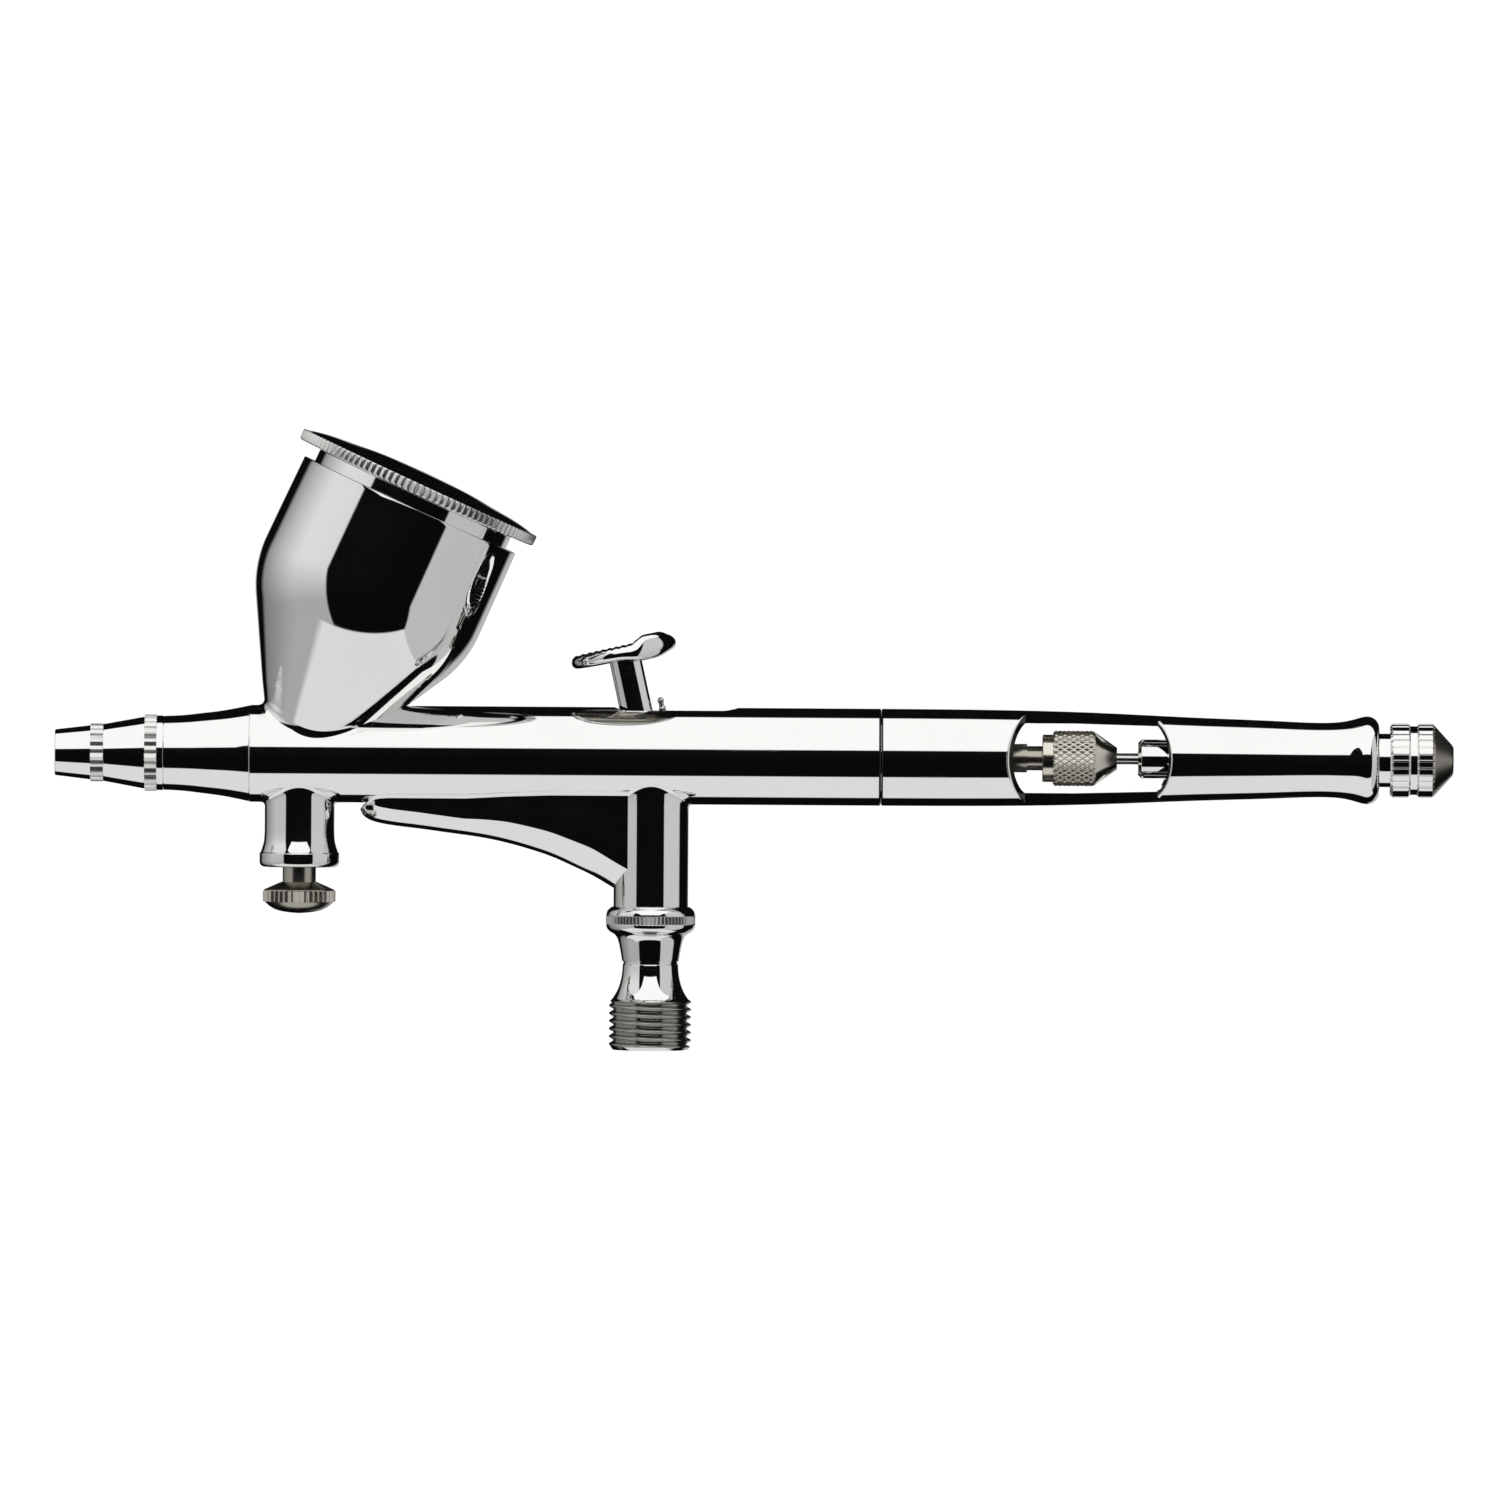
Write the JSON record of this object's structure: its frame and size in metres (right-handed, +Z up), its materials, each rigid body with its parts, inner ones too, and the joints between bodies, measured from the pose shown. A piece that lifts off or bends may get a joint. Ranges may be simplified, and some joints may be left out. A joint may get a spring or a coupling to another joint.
{
  "type": "airbrush gun",
  "caption": "Gravity-fed double-action airbrush with a tilted lidded cup, trigger lever, air control valve and cut-away handle.",
  "frame": {"origin": "on the air valve's axis, in the middle of the hose thread; the barrel's axis is 31.6 mm above it", "axes": "+X along the barrel towards the needle stop knob, the nozzle at -X; +Z up towards the cup; the hose inlet points down -Z"},
  "size_m": [0.165, 0.0304, 0.0731],
  "materials": {
    "chrome": "mirror-polished chrome plating",
    "nickel": "warm satin nickel plating",
    "steel": "ground stainless steel",
    "brass": "machined brass",
    "rubber": "moulded rubber seal",
    "ptfe": "white low-friction plastic"
  },
  "bodies": {
    "airbrush_body": {"needle_cap": "chrome", "nozzle_cap": "chrome", "nozzle": "brass", "head": "chrome", "head_oring": "rubber", "barrel": "chrome", "paint_cup": "chrome", "air_post": "chrome", "mac_boss": "chrome", "needle_packing": "ptfe", "packing_screw": "brass", "needle_spring": "steel", "spring_case": "brass", "tension_screw": "brass", "valve_body": "chrome", "valve_body_oring": "rubber", "valve_spring": "steel", "valve_guide_screw": "brass", "handle": "chrome"},
    "valve_train": {"valve_piston": "brass", "piston_oring": "rubber", "valve_plunger": "brass", "valve_seal": "rubber"},
    "trigger": {"main_lever": "chrome"},
    "rocker": {"aux_lever": "steel"},
    "needle_set": {"needle": "steel", "chucking_guide": "nickel"},
    "clamp_nut": {"chuck_nut": "nickel"},
    "stop_carrier": {"stop_oring": "rubber"},
    "needle_stop": {"stop_screw": "chrome"},
    "mac_carrier": {"mac_oring": "rubber"},
    "air_control": {"mac_screw": "nickel"},
    "lid": {"cup_lid": "chrome"}
  },
  "joints": [
    {"name": "lever_press", "type": "slide", "parent": "airbrush_body", "child": "valve_train", "axis": [0, 0, -1], "range_m": [0, 0.0018], "stiffness_N_per_m": 400, "springref_m": -0.0025, "deforming": ["valve_spring"]},
    {"name": "lever_pull", "type": "hinge", "parent": "valve_train", "child": "trigger", "pos_m": [0, 0, 0.0286], "axis": [0, 1, 0], "range_deg": [0, 25]},
    {"name": "aux_rock", "type": "hinge", "parent": "airbrush_body", "child": "rocker", "pos_m": [0.0032, 0, 0.0292], "axis": [0, 1, 0], "range_deg": [0, 25]},
    {"name": "needle_pull", "type": "slide", "parent": "airbrush_body", "child": "needle_set", "axis": [1, 0, 0], "range_m": [0, 0.0024], "stiffness_N_per_m": 250, "springref_m": -0.003, "deforming": ["needle_spring"]},
    {"name": "chuck_nut_turn", "type": "hinge", "parent": "needle_set", "child": "clamp_nut", "pos_m": [0.05, 0, 0.0316], "axis": [1, 0, 0], "range_deg": [0, 180]},
    {"name": "stop_turn", "type": "hinge", "parent": "stop_carrier", "child": "needle_stop", "pos_m": [0.09, 0, 0.0316], "axis": [1, 0, 0], "range_deg": [-864, 2016]},
    {"name": "stop_slide", "type": "slide", "parent": "airbrush_body", "child": "stop_carrier", "axis": [1, 0, 0], "range_m": [-0.0012, 0.0028]},
    {"name": "mac_turn", "type": "hinge", "parent": "mac_carrier", "child": "air_control", "pos_m": [-0.0415, 0, 0.0149], "axis": [0, 0, -1], "range_deg": [-576, 864]},
    {"name": "mac_slide", "type": "slide", "parent": "airbrush_body", "child": "mac_carrier", "axis": [0, 0, -1], "range_m": [-0.0008, 0.0012]},
    {"name": "lid_lift", "type": "slide", "parent": "airbrush_body", "child": "lid", "axis": [0.4147, 0, 0.91], "range_m": [0, 0.03]}
  ],
  "couplings": [
    {"joint": "lever_pull", "follows": "needle_pull", "rad_per_m": 181.8},
    {"joint": "aux_rock", "follows": "needle_pull", "rad_per_m": 181.8},
    {"joint": "stop_turn", "follows": "stop_slide", "rad_per_m": 12566},
    {"joint": "mac_turn", "follows": "mac_slide", "rad_per_m": 12566}
  ]
}
